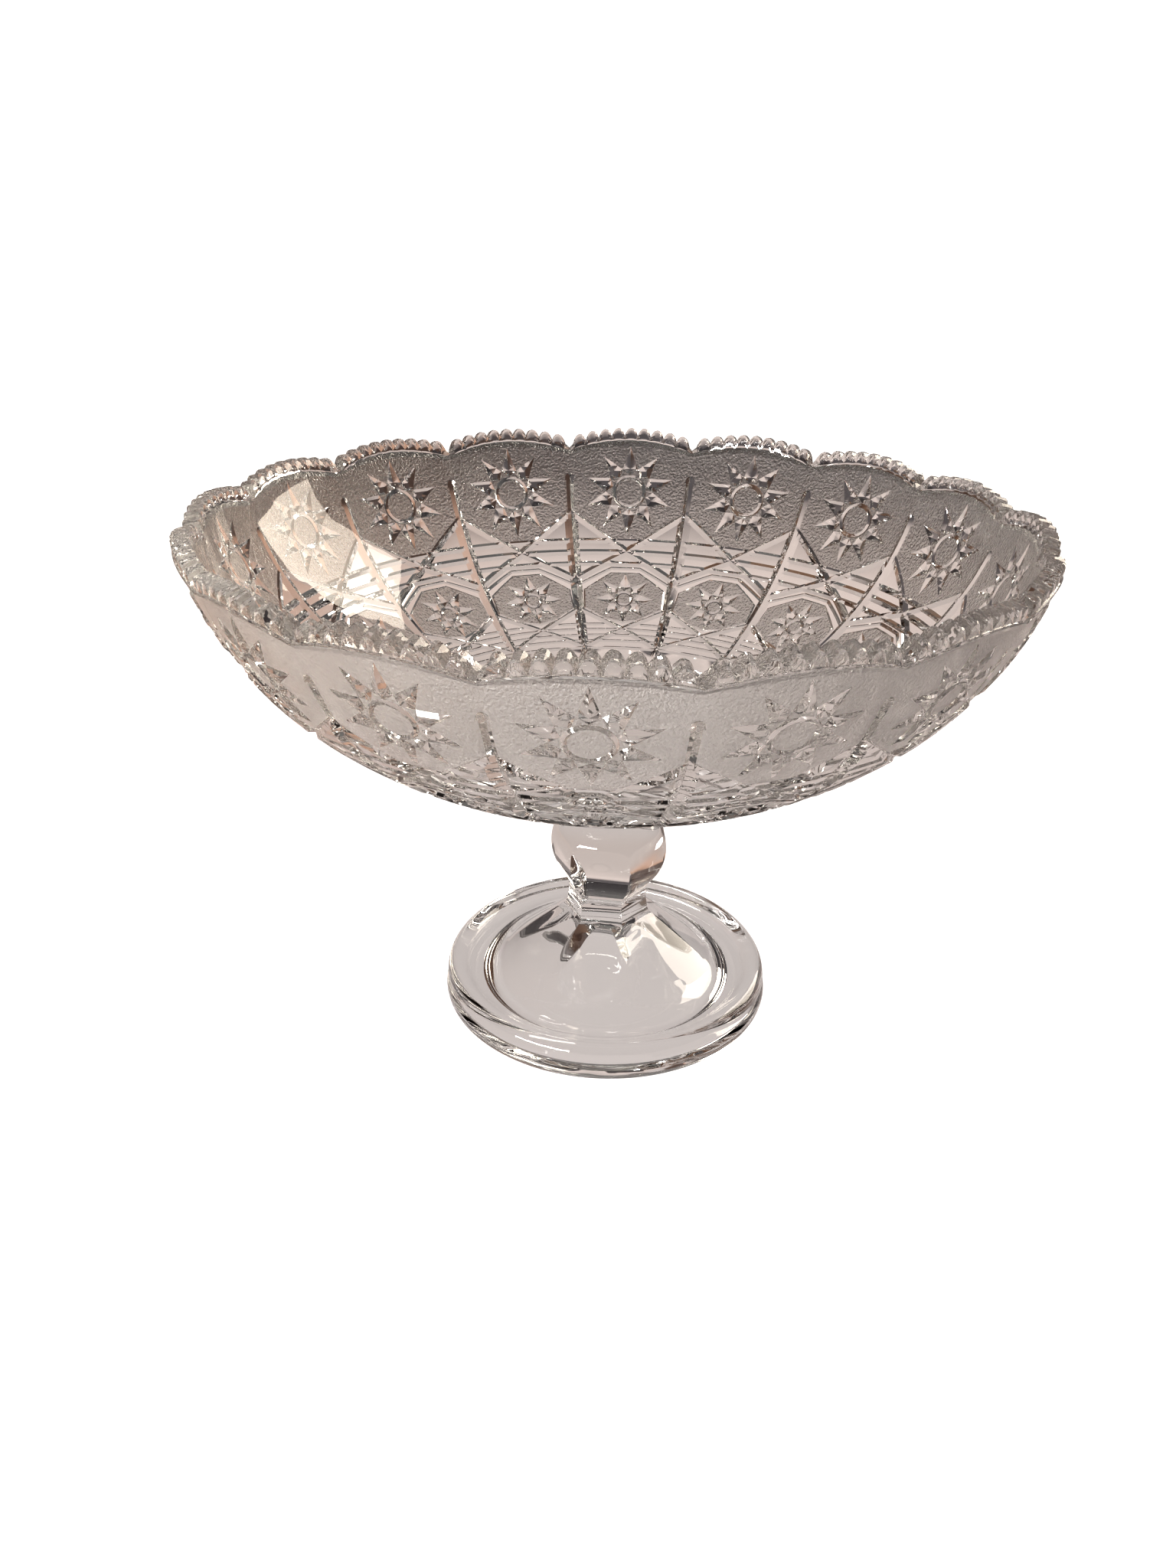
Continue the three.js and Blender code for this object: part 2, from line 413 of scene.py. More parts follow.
class Groove:
    """A V groove along a straight line, with round ends."""

    def __init__(self, start, end, half, depth):
        self.start, self.end = Vector((*start, 0.0)), Vector((*end, 0.0))
        self.half, self.depth = half, depth
        self.run = (self.end - self.start).length
        self.along = (self.end - self.start) / self.run
        self.side = Vector((-self.along.y, self.along.x, 0.0))

    def creases(self):
        shift = self.side * self.half
        return [(self.start, self.end), (self.start + shift, self.end + shift),
                (self.start - shift, self.end - shift)]

    def height(self, x, v):
        point = Vector((x, v, 0.0)) - self.start
        share = min(max(point.dot(self.along), 0.0), self.run)
        away = (point - self.along * share).length
        return -self.depth * max(1.0 - away / self.half, 0.0)


class Pattern:
    """Everything pressed into the outside of one panel, right half."""

    def __init__(self, shape, outside):
        self.edge = RIM_SCALE * math.pi / shape.panels
        edge = self.edge
        self.outside = outside
        base = -shape.field_depth / MM
        groove = shape.groove_depth / MM
        self.rib_depth = shape.rib_depth / MM
        self.rib_half = 3.5
        self.rib_top = 17.5

        def stretch(v):
            return RIM_SCALE / outside.at(v)[0][0]

        big, small = 24.4, 80.7
        self.stars = (
            Star(big, stretch(big), 10, 6.2, (7.2, 8.2, 0.15), 11.3, 21.3, 1.8, base),
            Star(small, stretch(small), 8, 2.8, (3.6, 4.4, 0.0), 7.2, 13.9, 1.35, base),
        )
        self.fields = (
            Field([(edge + 20, 20.0), (8.1, 48.9), (-1.0, 48.9)], -base, 1.0),
            Field([(-1.0, 65.6), (8.4, 65.6), (25.2, 75.0), (26.2, 86.2), (13.0, 92.9),
                   (-1.0, 95.3)], -base, 0.8),
        )
        cross, low_cross = 54.8, 98.8
        self.grooves = [
            Groove((edge + 3, 31.9), (0.0, cross), 2.2, groove * 1.3),
            Groove((0.0, cross), (edge + 3, 71.0), 2.0, groove * 1.2),
            Groove((-2.0, 48.9), (edge + 2, 48.9), 1.5, groove),
            Groove((-2.0, cross), (edge + 2, cross), 1.6, groove),
            Groove((-2.0, 60.9), (edge + 2, 60.9), 1.3, groove),
            Groove((-2.0, 63.4), (8.2, 63.4), 0.8, groove * 0.6),
            Groove((8.2, 63.4), (edge, 73.0), 0.8, groove * 0.6),
            Groove((edge + 2, 85.3), (0.0, low_cross), 1.7, groove),
            Groove((0.0, low_cross), (edge + 2, LAST_GROOVE), 1.7, groove),
            Groove((14.0, 95.6), (edge + 2, 95.6), 0.8, groove * 0.8),
            Groove((-2.0, low_cross), (edge + 2, low_cross), 0.8, groove * 0.8),
            Groove((-2.0, 102.4), (edge + 2, 102.4), 0.8, groove * 0.8),
            Groove((-2.0, 106.0), (edge + 2, 106.0), 0.8, groove * 0.8),
            Groove((-2.0, LAST_GROOVE), (edge + 2, LAST_GROOVE), 1.0, groove),
        ]

    def creases(self):
        lines = []
        for part in (*self.stars, *self.fields, *self.grooves):
            lines += part.creases()
        edge = self.edge
        for half in (self.rib_half, self.rib_half * 0.5):
            lines.append((Vector((edge - half, self.rib_top, 0.0)),
                          Vector((edge - half, 160.0, 0.0))))
        for turn in range(3):
            a, b = math.radians(30 * turn), math.radians(30 * turn + 30)
            for half in (self.rib_half, self.rib_half * 0.6):
                lines.append((
                    Vector((edge - half * math.cos(a), self.rib_top - half * math.sin(a), 0)),
                    Vector((edge - half * math.cos(b), self.rib_top - half * math.sin(b), 0))))
        return lines

    def rib(self, x, v):
        """The mitre between two panels, with a scooped top; it fades out at the boss."""
        away = math.hypot(self.edge - x, max(self.rib_top - v, 0.0))
        depth = self.rib_depth * min(1.0, self.outside.at(v)[0][0] / RIB_FULL_RADIUS)
        depth *= 1.0 - ease(150.0, BOSS_RUN, v)
        return -depth * max(1.0 - away / self.rib_half, 0.0)

    def base_star(self, x, v):
        """Under the bowl each panel is a low roof, so that the panels make a star."""
        rise = ease(LAST_GROOVE, LAST_GROOVE + 5.5, v) * (1.0 - ease(148.0, BOSS_RUN, v))
        return -ROOF_FALL * rise * x / self.edge

    def relief(self, x, v):
        """Height over the wall, and whether the surface there is stippled."""
        height = min(part.height(x, v) for part in self.grooves)
        height = min(height, self.base_star(x, v))
        stippled = False
        for star, field in zip(self.stars, self.fields):
            inset = field.inset(x, v)
            if inset > 0.0:
                ground = field.height(x, v)
                raised = star.height(x, v)
                stippled = inset > field.border - 0.05 and raised < ground + 0.01
                height = min(height, 0.0) if raised > 0.0 else min(height, max(ground, raised))
                height = max(raised, ground) if inset > field.border else height
        rib = self.rib(x, v)
        if rib < height:
            return rib, False
        return height, stippled


# ---- Bowl ---------------------------------------------------------------------------------

# Section of the rim from the ledge over the teeth: outwards, up, share of the tooth's height
# that the row has, and how far up the tooth the gap between two teeth ends.
RIM_SECTION = (
    (0.50, 0.35, 0.0, 0.0),
    (0.15, 0.85, 0.0, 0.0),
    (-0.25, 0.90, 0.03, 0.0),
    (-0.15, 0.90, 0.50, 0.0),
    (-0.45, 0.90, 0.86, 0.0),
    (-1.10, 0.90, 0.97, 0.05),
    (-3.40, 0.90, 1.00, 0.18),
    (-5.70, 0.90, 0.97, 0.25),
    (-6.60, 0.85, 0.75, 0.28),
    (-6.95, 0.60, 0.30, 0.30),
)
RIM_ROWS = len(RIM_SECTION) + 1
COLUMNS = 11  # of the flat sheet, before it is scored
SNAP = 0.03  # a cut this near to a vertex goes through the vertex
END_SLACK = 0.02  # a crease may stop this far past or short of a face
SCALLOP_FADE = 14.0  # the wall follows the scallops down to here
NOTCH_PINCH = 0.7  # the rim draws in this much at a notch


def sheet_rows(outside, inside):
    """Places of the rows on the flat sheet: inside wall, rim, outside wall and boss.

    The steps are (where a stretch ends, gap between its rows) in millimetres of path."""
    rows = [-RIM_ROWS - inside.length]
    run = inside.length
    inner_steps = ((inside.length * 0.93, 2.5), (inside.length * 0.6, 9.0), (30.0, 7.0),
                   (6.0, 4.0), (0.0, 2.0))
    for stop, gap in inner_steps:
        count = max(round((run - stop) / gap), 1)
        rows += [-RIM_ROWS - mix(run, stop, (i + 1) / count) for i in range(count)]
        run = stop
    rows += [float(-i) for i in range(RIM_ROWS - 1, 0, -1)]
    rows.append(0.0)
    run = 0.0
    outer_steps = ((112.0, 2.4), (outside.length - 27.5, 4.5), (outside.length - 17.6, 1.1))
    for stop, gap in outer_steps:
        count = max(round((stop - run) / gap), 1)
        rows += [mix(run, stop, (i + 1) / count) for i in range(count)]
        run = stop
    return rows + [outside.length - 17.0, outside.length - 8.0, outside.length]


def score(bm, start, end):
    """Cuts the flat sheet along the line from start to end, so that a crease can follow it."""
    run = (end - start).length
    if run < 1e-6:
        return
    along = (end - start) / run
    side = Vector((-along.y, along.x, 0.0))
    near = []
    for face in bm.faces:
        places = [((v.co - start).dot(along), (v.co - start).dot(side)) for v in face.verts]
        if min(p[0] for p in places) > run or max(p[0] for p in places) < 0.0:
            continue
        if min(p[1] for p in places) > -SNAP or max(p[1] for p in places) < SNAP:
            continue
        hits = []
        for (t0, d0), (t1, d1) in zip(places, places[1:] + places[:1]):
            if d0 * d1 < 0.0:
                hits.append(t0 + (t1 - t0) * d0 / (d0 - d1))
            elif d0 == 0.0:
                hits.append(t0)
        if hits and max(hits) > END_SLACK and min(hits) < run - END_SLACK:
            near.append(face)
    edges = {edge for face in near for edge in face.edges}
    verts = {vert for face in near for vert in face.verts}
    bmesh.ops.bisect_plane(bm, geom=[*near, *edges, *verts], dist=SNAP, plane_co=start,
                           plane_no=side)


def tooth_profile(x, pitch, teeth, gap):
    """0 at the notch, the gap's height between two teeth and 1 on top of a tooth."""
    end = teeth / 2.0 * pitch
    if x > end:
        return gap * (1.0 - ease(0.0, 1.0, x - end))
    away = abs(x - pitch * round(x / pitch)) / (pitch / 2.0)
    return mix(gap, 1.0, max(1.0 - away ** 2.2, 0.0) ** 0.9)


def bowl_sheet(shape, pattern, outside, inside):
    """The flat right half of a panel, cut along every crease."""
    rows = sheet_rows(outside, inside)
    bm = bmesh.new()
    bmesh.ops.create_grid(bm, x_segments=COLUMNS, y_segments=len(rows) - 1, size=0.5)
    for vert in bm.verts:
        row = round((vert.co.y + 0.5) * (len(rows) - 1))
        vert.co = Vector(((vert.co.x + 0.5) * pattern.edge, rows[row], 0.0))
    for start, end in pattern.creases():
        score(bm, start, end)
    pitch = 2.0 * pattern.edge / (shape.teeth + 0.6)
    for tooth in range(shape.teeth // 2 + 1):
        for share in (-1.0, -0.95, -0.84, -0.66, -0.4, 0.0, 0.4, 0.66, 0.84, 0.95, 1.0):
            x = pitch * (tooth + share / 2.0)
            if x > 0.05:
                score(bm, Vector((x, -RIM_ROWS, 0.0)), Vector((x, 0.0, 0.0)))
    return bm, pitch


def wrap_bowl(bm, shape, pattern, outside, inside, pitch):
    """Bends the flat sheet to the bowl and presses the pattern and the teeth into it."""
    drop = shape.notch_drop / MM
    tooth = shape.tooth / MM
    for vert in bm.verts:
        x, y = vert.co.x, vert.co.y
        fall = drop * (x / pattern.edge) ** 2
        if y >= 0.0:
            run = y + fall * max(1.0 - y / SCALLOP_FADE, 0.0)
            (r, z), down = outside.at(run)
            out = (-down[1], down[0])
            height = pattern.relief(x, y)[0] * ease(0.0, 0.8, y)
            height -= NOTCH_PINCH * (x / pattern.edge) ** 3 * (1.0 - ease(20.0, 55.0, y))
            r, z = r + out[0] * height, z + out[1] * height
        elif y <= -RIM_ROWS + 1e-6:
            run = -y - RIM_ROWS
            run += fall * max(1.0 - run / SCALLOP_FADE, 0.0)
            (r, z), down = inside.at(run)
        else:
            (r, z), down = outside.at(fall)
            out = (-down[1], down[0])
            offset, rise, share, gap = RIM_SECTION[round(-y) - 1]
            rise += share * tooth * tooth_profile(x, pitch, shape.teeth, gap)
            offset -= NOTCH_PINCH * (x / pattern.edge) ** 3
            r, z = r + out[0] * offset - down[0] * rise, z + out[1] * offset - down[1] * rise
        azimuth = -math.pi / 2.0 + x / RIM_SCALE
        vert.co = Vector((r * math.cos(azimuth), r * math.sin(azimuth), z)) * MM


def make_bowl(shape, look):
    """Presses half a panel on a flat sheet, wraps it, mirrors it and repeats it all round."""
    outside, inside = wall_paths(shape)
    pattern = Pattern(shape, outside)
    bm, pitch = bowl_sheet(shape, pattern, outside, inside)
    for face in bm.faces:
        middle = face.calc_center_median()
        if middle.y > 0.0:
            face.material_index = int(pattern.relief(middle.x, middle.y)[1])
    wrap_bowl(bm, shape, pattern, outside, inside, pitch)
    bmesh.ops.remove_doubles(bm, verts=bm.verts[:], dist=WELD * MM)
    bmesh.ops.triangulate(bm, faces=bm.faces[:], quad_method="BEAUTY", ngon_method="BEAUTY")
    bmesh.ops.mirror(bm, geom=bm.verts[:] + bm.edges[:] + bm.faces[:], merge_dist=WELD * MM,
                     axis="X")
    panels = shape.panels
    bmesh.ops.spin(bm, geom=bm.verts[:] + bm.edges[:] + bm.faces[:], cent=(0, 0, 0),
                   axis=(0, 0, 1), angle=math.tau * (panels - 1) / panels, steps=panels - 1,
                   use_duplicate=True)
    bmesh.ops.remove_doubles(bm, verts=bm.verts[:], dist=WELD * MM)
    bmesh.ops.recalc_face_normals(bm, faces=bm.faces[:])
    return finish_piece("bowl_glass", bm, [clear_glass(look), stippled_glass(look)], "bowl")


# ---- Foot ---------------------------------------------------------------------------------

def bend(points, steps):
    """A quadratic curve through three control points."""
    a, b, c = points
    out = []
    for i in range(steps + 1):
        t = i / steps
        out.append(tuple((1 - t) ** 2 * p + 2 * t * (1 - t) * q + t * t * r
                         for p, q, r in zip(a, b, c)))
    return out


BALL_START = 51.3  # the neck ends and the ball starts at this height
NECK_RADIUS = 18.0  # everything slimmer than this under the ball is neck
BALL_STEP, BALL_ROWS = 0.85, 44
BALL_END = 88.0  # the collar starts above this height
DOME_RADIUS, DOME_BOTTOM = 45.0, 14.4  # the hexagon's edges fade out before these


def foot_profile(shape):
    """Half section of the foot in millimetres, from under the middle to the seat's middle."""
    outer = FOOT_HIGH.x / MM
    seat = FOOT_HIGH.z / MM
    recess = shape.recess / MM
    hollow = bend([(0.0, recess), (8.5, recess + 0.2), (14.0, recess - 4.2)], 8)
    hollow += bend([(15.0, recess - 4.9), (38.0, 11.0), (46.5, 5.6)], 12)
    hollow += bend([(47.6, 4.8), (50.4, 2.6), (51.8, 0.0)], 5)
    ring = bend([(outer - 5.0, 0.0), (outer - 0.3, 0.1), (outer, 3.8)], 6)
    parting = [(outer - 0.25, 5.6), (outer - 0.9, 6.6), (outer - 1.45, 7.1), (outer - 1.1, 7.7)]
    roll = bend([(outer - 0.7, 8.8), (outer - 0.6, 14.3), (outer - 4.3, 15.5)], 8)
    roll += bend([(outer - 4.9, 15.55), (outer - 7.4, 15.5), (outer - 9.3, 13.9)], 6)
    channel = bend([(outer - 10.0, 13.5), (outer - 14.5, 11.8), (47.5, 13.8)], 8)
    dome = bend([(45.9, 14.6), (43.8, 15.6), (40.6, 18.6)], 6)
    dome += [(mix(40.6, 19.6, i / 14), mix(18.6, 36.4, i / 14)) for i in range(1, 15)]
    dome += bend([(18.6, 37.3), (17.2, 38.4), (16.8, 40.2)], 5)
    neck = bend([(16.6, 42.0), (15.9, 45.5), (16.3, 49.2)], 8)
    neck += [(16.6, 50.2), (16.9, 50.9)]
    # stem_radius sets the radius of the ball's rows
    ball = [(NECK_RADIUS, BALL_START + 0.1 + BALL_STEP * i) for i in range(BALL_ROWS)]
    collar = bend([(13.2, 88.2), (13.4, 91.2), (15.9, 93.2)], 6)
    rim = [(16.4, 94.2), (SEAT_RADIUS, seat - 1.6), (SEAT_RADIUS - 0.3, seat - 0.4),
           (SEAT_RADIUS - 1.0, seat), (8.0, seat), (0.0, seat)]
    return hollow + ring + parting + roll + channel + dome + neck + ball + collar + rim


def stem_radius(shape, radius, height, azimuth):
    """Turns the round section into the hexagon of the neck and the flats of the knop."""
    side = math.tau / 6.0
    facing = azimuth + math.pi / 2.0 - shape.stem_turn
    offset = facing - side * round(facing / side)
    flat = math.cos(side / 2.0) / math.cos(offset)
    if height > BALL_START:
        middle, ball = shape.knop_height / MM, shape.knop_radius / MM
        radius = math.sqrt(ball ** 2 - (height - middle) ** 2)
        return radius * mix(1.0, flat, 1.0 - ease(middle - 3.0, middle + 11.0, height))
    if radius < NECK_RADIUS:
        return radius * flat
    # the dome keeps a faint hexagon far out and a strong one close to the neck
    faint = 0.35 * (1.0 - ease(22.0, DOME_RADIUS, radius))
    strong = 0.65 * (1.0 - ease(17.5, 24.0, radius))
    return radius * mix(1.0, flat, faint + strong)


def make_foot(shape, look):
    """Turns the foot's section on the axis and gives the stem its hexagon."""
    bm = bmesh.new()
    turn = Matrix.Rotation(shape.stem_turn - math.pi / 2.0, 3, "Z")
    verts = [bm.verts.new(turn @ Vector((r, 0.0, z))) for r, z in foot_profile(shape)]
    edges = [bm.edges.new(pair) for pair in zip(verts, verts[1:])]
    bmesh.ops.spin(bm, geom=verts + edges, cent=(0, 0, 0), axis=(0, 0, 1), angle=math.tau,
                   steps=shape.steps, use_merge=True)
    bmesh.ops.remove_doubles(bm, verts=bm.verts[:], dist=WELD)
    for vert in bm.verts:
        radius, height = math.hypot(vert.co.x, vert.co.y), vert.co.z
        if radius < 1e-6 or radius > DOME_RADIUS:
            continue
        if height < DOME_BOTTOM or height > BALL_END:
            continue
        azimuth = math.atan2(vert.co.y, vert.co.x)
        scale = stem_radius(shape, radius, height, azimuth) / radius
        vert.co.x, vert.co.y = vert.co.x * scale, vert.co.y * scale
    bmesh.ops.scale(bm, vec=(MM, MM, MM), verts=bm.verts[:])
    bmesh.ops.recalc_face_normals(bm, faces=bm.faces[:])
    return finish_piece("foot_glass_piece", bm, [foot_glass(look)], "foot",
                        crease=math.radians(24))


# ---- Bond ---------------------------------------------------------------------------------

def make_bond(look):
    """The cured film, let a hair into the glass on both sides so that no air shows."""
    overlap = 0.04 * MM
    bm = bmesh.new()
    height = FILM_HIGH.z - FILM_LOW.z + 2.0 * overlap
    bmesh.ops.create_cone(bm, cap_ends=True, segments=72, radius1=FILM_HIGH.x,
                          radius2=FILM_HIGH.x, depth=height)
    bmesh.ops.translate(bm, vec=(0, 0, (FILM_HIGH.z + FILM_LOW.z) / 2.0), verts=bm.verts[:])
    edges = [e for e in bm.edges if len({round(v.co.z, 6) for v in e.verts}) == 1]
    bmesh.ops.bevel(bm, geom=edges, offset=0.08 * MM, affect="EDGES", segments=2, profile=0.5,
                    material=-1)
    material = glass_material("cured bond", (0.97, 0.97, 0.95), look.ior, 0.0,
                              [(220.0, 0.1, 0.0002, 1.0)])
    return finish_piece("bond_disc", bm, [material], "bond_film")


# ---- Stage --------------------------------------------------------------------------------

def floor_material(look):
    """Plain and pale where it is seen directly. Every other ray, through the glass and mirrored in
    it, sees the floor glow with painted light instead: a painted shadow under the bowl, a painted
    pool of light beside the foot, the floor's own warm tone round it, painted dimming far away,
    and browner on the left."""
    material = bpy.data.materials.new("pale floor")
    material.use_nodes = True
    nodes, links = material.node_tree.nodes, material.node_tree.links
    nodes.clear()
    place = nodes.new("ShaderNodeTexCoord")
    away = nodes.new("ShaderNodeVectorMath")
    away.operation = "LENGTH"
    links.new(place.outputs["Object"], away.inputs[0])
    tone_and_painted_light = nodes.new("ShaderNodeValToRGB")
    tone_and_painted_light.color_ramp.interpolation = "EASE"
    links.new(away.outputs["Value"], tone_and_painted_light.inputs["Fac"])
    first, last = tone_and_painted_light.color_ramp.elements
    # The glow's middle is the painted shadow under the bowl
    first.position, first.color = 0.06, (*look.painted_shadow, 1.0)
    # The glow's far end is painted dimming
    last.position, last.color = 0.95, (*look.painted_dim_far_floor, 1.0)
    # Next comes the painted pool of light beside the foot, then the table's own tone, painted as
    # lit, further out
    for metres, colour in ((0.12, look.painted_light_pool), (0.24, look.painted_light_pool), (0.55, look.table)):
        tone_and_painted_light.color_ramp.elements.new(metres).color = (*colour, 1.0)
    split = nodes.new("ShaderNodeSeparateXYZ")
    links.new(place.outputs["Object"], split.inputs[0])
    left = nodes.new("ShaderNodeMapRange")
    left.interpolation_type = "SMOOTHSTEP"
    left.inputs["From Min"].default_value = -0.05
    left.inputs["From Max"].default_value = -0.45
    links.new(split.outputs["X"], left.inputs["Value"])
    brown = nodes.new("ShaderNodeMix")
    brown.data_type = "RGBA"
    brown.blend_type = "MULTIPLY"
    links.new(left.outputs["Result"], brown.inputs[0])
    links.new(tone_and_painted_light.outputs["Color"], brown.inputs[6])
    brown.inputs[7].default_value = (0.80, 0.60, 0.48, 1.0)
    # The floor glows with this painted light, though it is no lamp
    painted_floor_glow = nodes.new("ShaderNodeEmission")
    links.new(brown.outputs[2], painted_floor_glow.inputs["Color"])
    pale = nodes.new("ShaderNodeEmission")
    pale.inputs["Color"].default_value = (*look.floor, 1.0)
    pale.inputs["Strength"].default_value = 0.80
    matt = nodes.new("ShaderNodeBsdfDiffuse")
    matt.inputs["Color"].default_value = (0.25, 0.25, 0.25, 1.0)
    both = nodes.new("ShaderNodeAddShader")
    links.new(pale.outputs[0], both.inputs[0])
    links.new(matt.outputs[0], both.inputs[1])
    # Camera rays see the evenly pale floor; every other ray sees the painted glow
    ray = nodes.new("ShaderNodeLightPath")
    pick = nodes.new("ShaderNodeMixShader")
    links.new(ray.outputs["Is Camera Ray"], pick.inputs[0])
    links.new(painted_floor_glow.outputs[0], pick.inputs[1])
    links.new(both.outputs[0], pick.inputs[2])
    out = nodes.new("ShaderNodeOutputMaterial")
    links.new(pick.outputs[0], out.inputs["Surface"])
    return material


def make_floor(look):
    """The floor, a hair under the foot so that the two faces don't coincide."""
    bm = bmesh.new()
    bmesh.ops.create_grid(bm, x_segments=1, y_segments=1, size=6.0)
    bmesh.ops.translate(bm, vec=(0.0, 0.0, -0.1 * MM), verts=bm.verts[:])
    mesh = bpy.data.meshes.new("floor")
    bm.to_mesh(mesh)
    bm.free()
    floor = bpy.data.objects.new("floor", mesh)
    bpy.context.scene.collection.objects.link(floor)
    mesh.materials.append(floor_material(look))


def make_world(look):
    """A pale backdrop where it is seen directly, and a dim room for the glass to show."""
    world = bpy.data.worlds.new("studio")
    world.use_nodes = True
    nodes, links = world.node_tree.nodes, world.node_tree.links
    place = nodes.new("ShaderNodeTexCoord")
    split = nodes.new("ShaderNodeSeparateXYZ")
    links.new(place.outputs["Generated"], split.inputs[0])
    ramp = nodes.new("ShaderNodeValToRGB")
    ramp.color_ramp.elements[0].position = 0.15
    ramp.color_ramp.elements[0].color = (*look.room, 1.0)
    ramp.color_ramp.elements[1].position = 0.85
    ramp.color_ramp.elements[1].color = (*look.ceiling, 1.0)
    links.new(split.outputs["Z"], ramp.inputs["Fac"])
    side = nodes.new("ShaderNodeMapRange")
    side.interpolation_type = "SMOOTHSTEP"
    side.inputs["From Min"].default_value = -0.15
    side.inputs["From Max"].default_value = -0.75
    links.new(split.outputs["X"], side.inputs["Value"])
    walls = nodes.new("ShaderNodeMix")
    walls.data_type = "RGBA"
    walls.blend_type = "MULTIPLY"
    links.new(side.outputs["Result"], walls.inputs[0])
    links.new(ramp.outputs["Color"], walls.inputs[6])
    walls.inputs[7].default_value = (1.6, 1.05, 0.75, 1.0)
    backdrop = nodes.new("ShaderNodeMix")
    backdrop.data_type = "RGBA"
    ray = nodes.new("ShaderNodeLightPath")
    links.new(ray.outputs["Is Camera Ray"], backdrop.inputs[0])
    links.new(walls.outputs[2], backdrop.inputs[6])
    backdrop.inputs[7].default_value = (0.93, 0.93, 0.93, 1.0)
    links.new(backdrop.outputs[2], nodes["Background"].inputs["Color"])
    bpy.context.scene.world = world


def add_light(name, place, target, size, power, colour):
    """A rectangular area light that faces the target."""
    data = bpy.data.lights.new(name, "AREA")
    data.shape = "RECTANGLE"
    data.size, data.size_y = size
    data.energy = power
    data.color = colour
    light = bpy.data.objects.new(name, data)
    light.location = place
    aim = Vector(target) - Vector(place)
    light.rotation_euler = aim.to_track_quat("-Z", "Y").to_euler()
    bpy.context.scene.collection.objects.link(light)


def make_studio(look):
    """The floor, the room, the lights and the camera."""
    make_floor(look)
    make_world(look)
    add_light("window", (2.0, 1.45, 1.40), (0, 0, 0.15), (1.4, 2.0), 46.0, (1.0, 0.90, 0.77))
    add_light("low window", (-1.5, -1.9, 0.25), (0, 0, 0.15), (1.6, 0.3), 54.0, (1.0, 0.965, 0.93))
    add_light("lamp", (-0.4, 1.8, 2.4), (0, 0, 0.1), (0.3, 0.3), 7.0, (1.0, 0.97, 0.92))
    data = bpy.data.cameras.new("camera")
    data.lens = look.lens
    data.sensor_width = 36.0
    data.clip_start = 0.01
    camera = bpy.data.objects.new("camera", data)
    turn = (Matrix.Rotation(look.heading, 4, "Z")
            @ Matrix.Rotation(math.pi / 2.0 - look.pitch, 4, "X")
            @ Matrix.Rotation(look.roll, 4, "Z"))
    camera.matrix_world = Matrix.Translation(look.camera) @ turn
    bpy.context.scene.collection.objects.link(camera)
    bpy.context.scene.camera = camera
    bpy.context.scene.view_settings.view_transform = "Standard"
    bpy.context.scene.view_settings.look = "High Contrast"
    cycles = bpy.context.scene.cycles
    cycles.max_bounces = 24
    cycles.transmission_bounces = 24
    cycles.glossy_bounces = 8


# ---- Operators and panel ------------------------------------------------------------------

class PUNCHBOWL_OT_bowl(bpy.types.Operator):
    """Build the pressed bowl with its star panels and toothed rim"""
    bl_idname = "punchbowl.bowl"
    bl_label = "Bowl"

    def execute(self, context):
        make_bowl(context.scene.punchbowl_bowl, context.scene.punchbowl_glass)
        return {"FINISHED"}


class PUNCHBOWL_OT_foot(bpy.types.Operator):
    """Build the domed foot with its neck and ball knop"""
    bl_idname = "punchbowl.foot"
    bl_label = "Foot"

    def execute(self, context):
        make_foot(context.scene.punchbowl_foot, context.scene.punchbowl_glass)
        return {"FINISHED"}


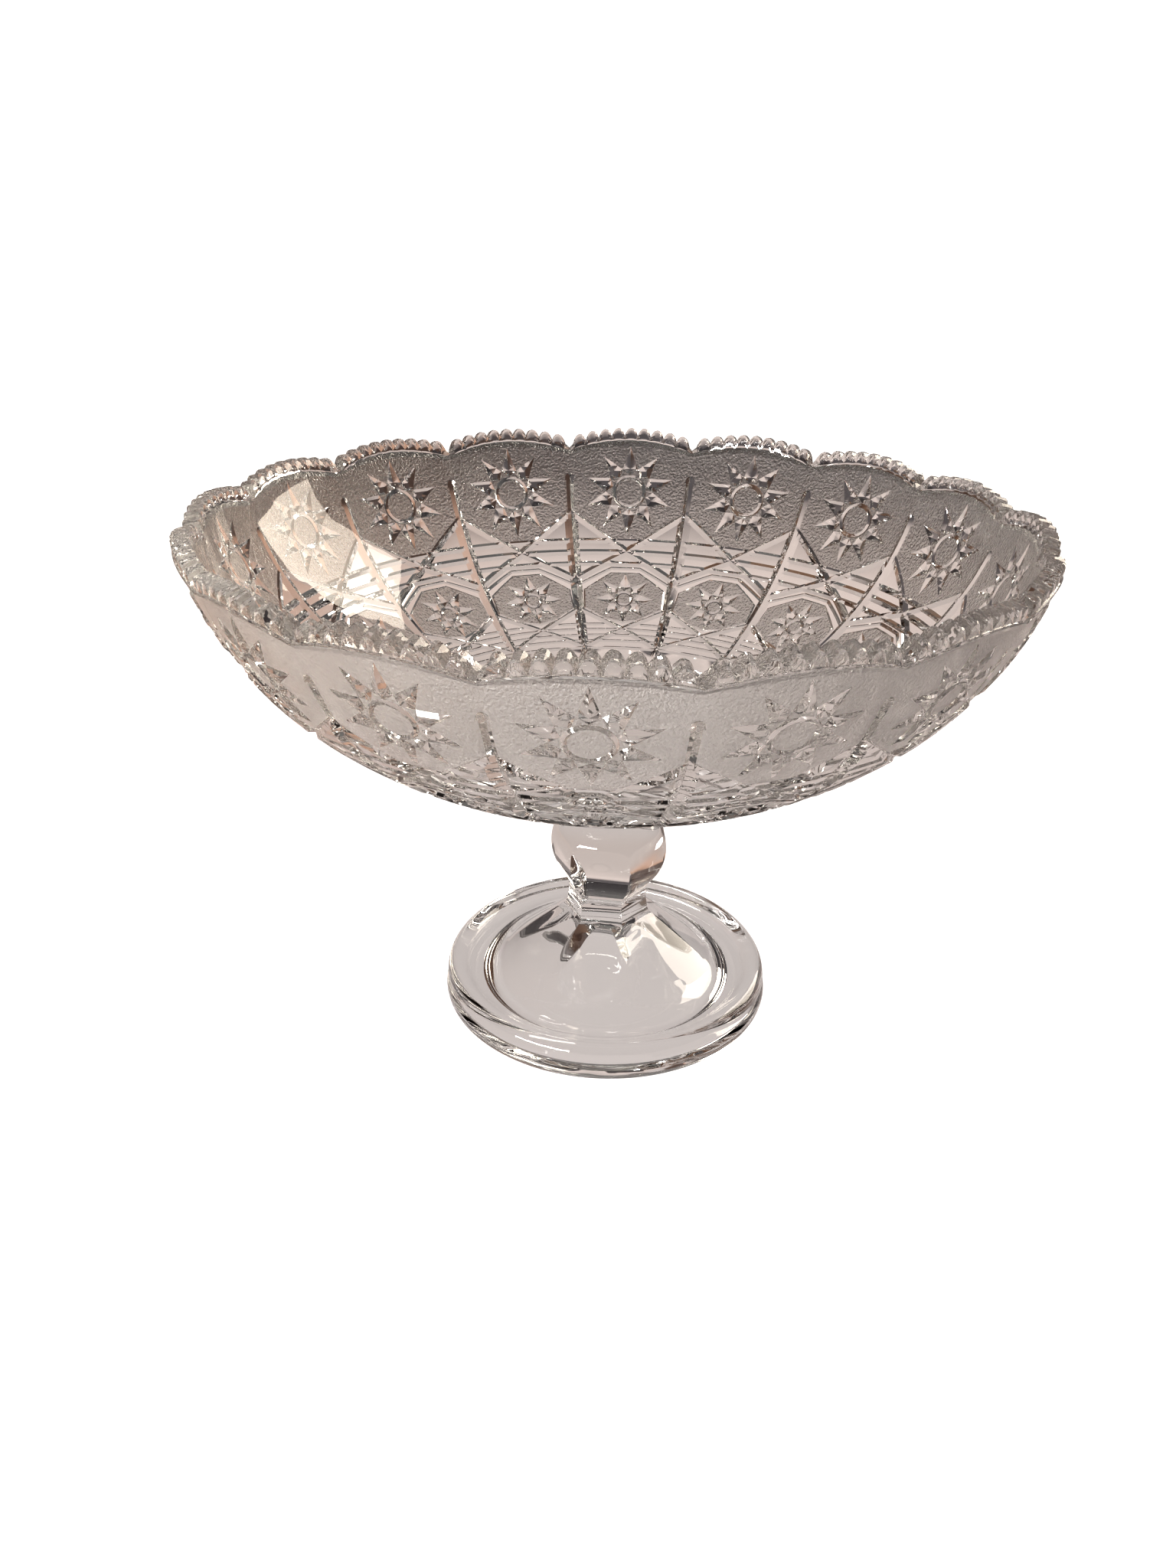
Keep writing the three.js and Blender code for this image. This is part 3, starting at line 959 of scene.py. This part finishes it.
class PUNCHBOWL_OT_bond(bpy.types.Operator):
    """Build the clear film that joins the bowl to the foot"""
    bl_idname = "punchbowl.bond"
    bl_label = "Bond"

    def execute(self, context):
        make_bond(context.scene.punchbowl_glass)
        return {"FINISHED"}


class PUNCHBOWL_OT_studio(bpy.types.Operator):
    """Build the floor, the lights, the world and the camera"""
    bl_idname = "punchbowl.studio"
    bl_label = "Studio"

    def execute(self, context):
        make_studio(context.scene.punchbowl_studio)
        return {"FINISHED"}


class PUNCHBOWL_PT_panel(bpy.types.Panel):
    """Sizes, colours and steps of the punch bowl"""
    bl_label = "Punch Bowl"
    bl_space_type = "VIEW_3D"
    bl_region_type = "UI"
    bl_category = "Punch Bowl"

    def draw(self, context):
        for group, operator in STEPS:
            settings = getattr(context.scene, group)
            box = self.layout.box()
            for name in settings.__annotations__:
                box.prop(settings, name)
            box.operator(operator)


STEPS = (
    ("punchbowl_studio", "punchbowl.studio"),
    ("punchbowl_foot", "punchbowl.foot"),
    ("punchbowl_glass", "punchbowl.bond"),
    ("punchbowl_bowl", "punchbowl.bowl"),
)
CLASSES = (
    BowlShape, FootShape, GlassLook, StudioLook, PUNCHBOWL_OT_bowl, PUNCHBOWL_OT_foot,
    PUNCHBOWL_OT_bond, PUNCHBOWL_OT_studio, PUNCHBOWL_PT_panel,
)


def register():
    for item in CLASSES:
        bpy.utils.register_class(item)
    scene = bpy.types.Scene
    scene.punchbowl_bowl = bpy.props.PointerProperty(type=BowlShape)
    scene.punchbowl_foot = bpy.props.PointerProperty(type=FootShape)
    scene.punchbowl_glass = bpy.props.PointerProperty(type=GlassLook)
    scene.punchbowl_studio = bpy.props.PointerProperty(type=StudioLook)


def unregister():
    scene = bpy.types.Scene
    for name in ("punchbowl_studio", "punchbowl_glass", "punchbowl_foot", "punchbowl_bowl"):
        delattr(scene, name)
    for item in reversed(CLASSES):
        bpy.utils.unregister_class(item)


def main():
    register()
    bpy.ops.punchbowl.studio()
    bpy.ops.punchbowl.foot()
    bpy.ops.punchbowl.bond()
    bpy.ops.punchbowl.bowl()


if __name__ == "__main__":
    main()
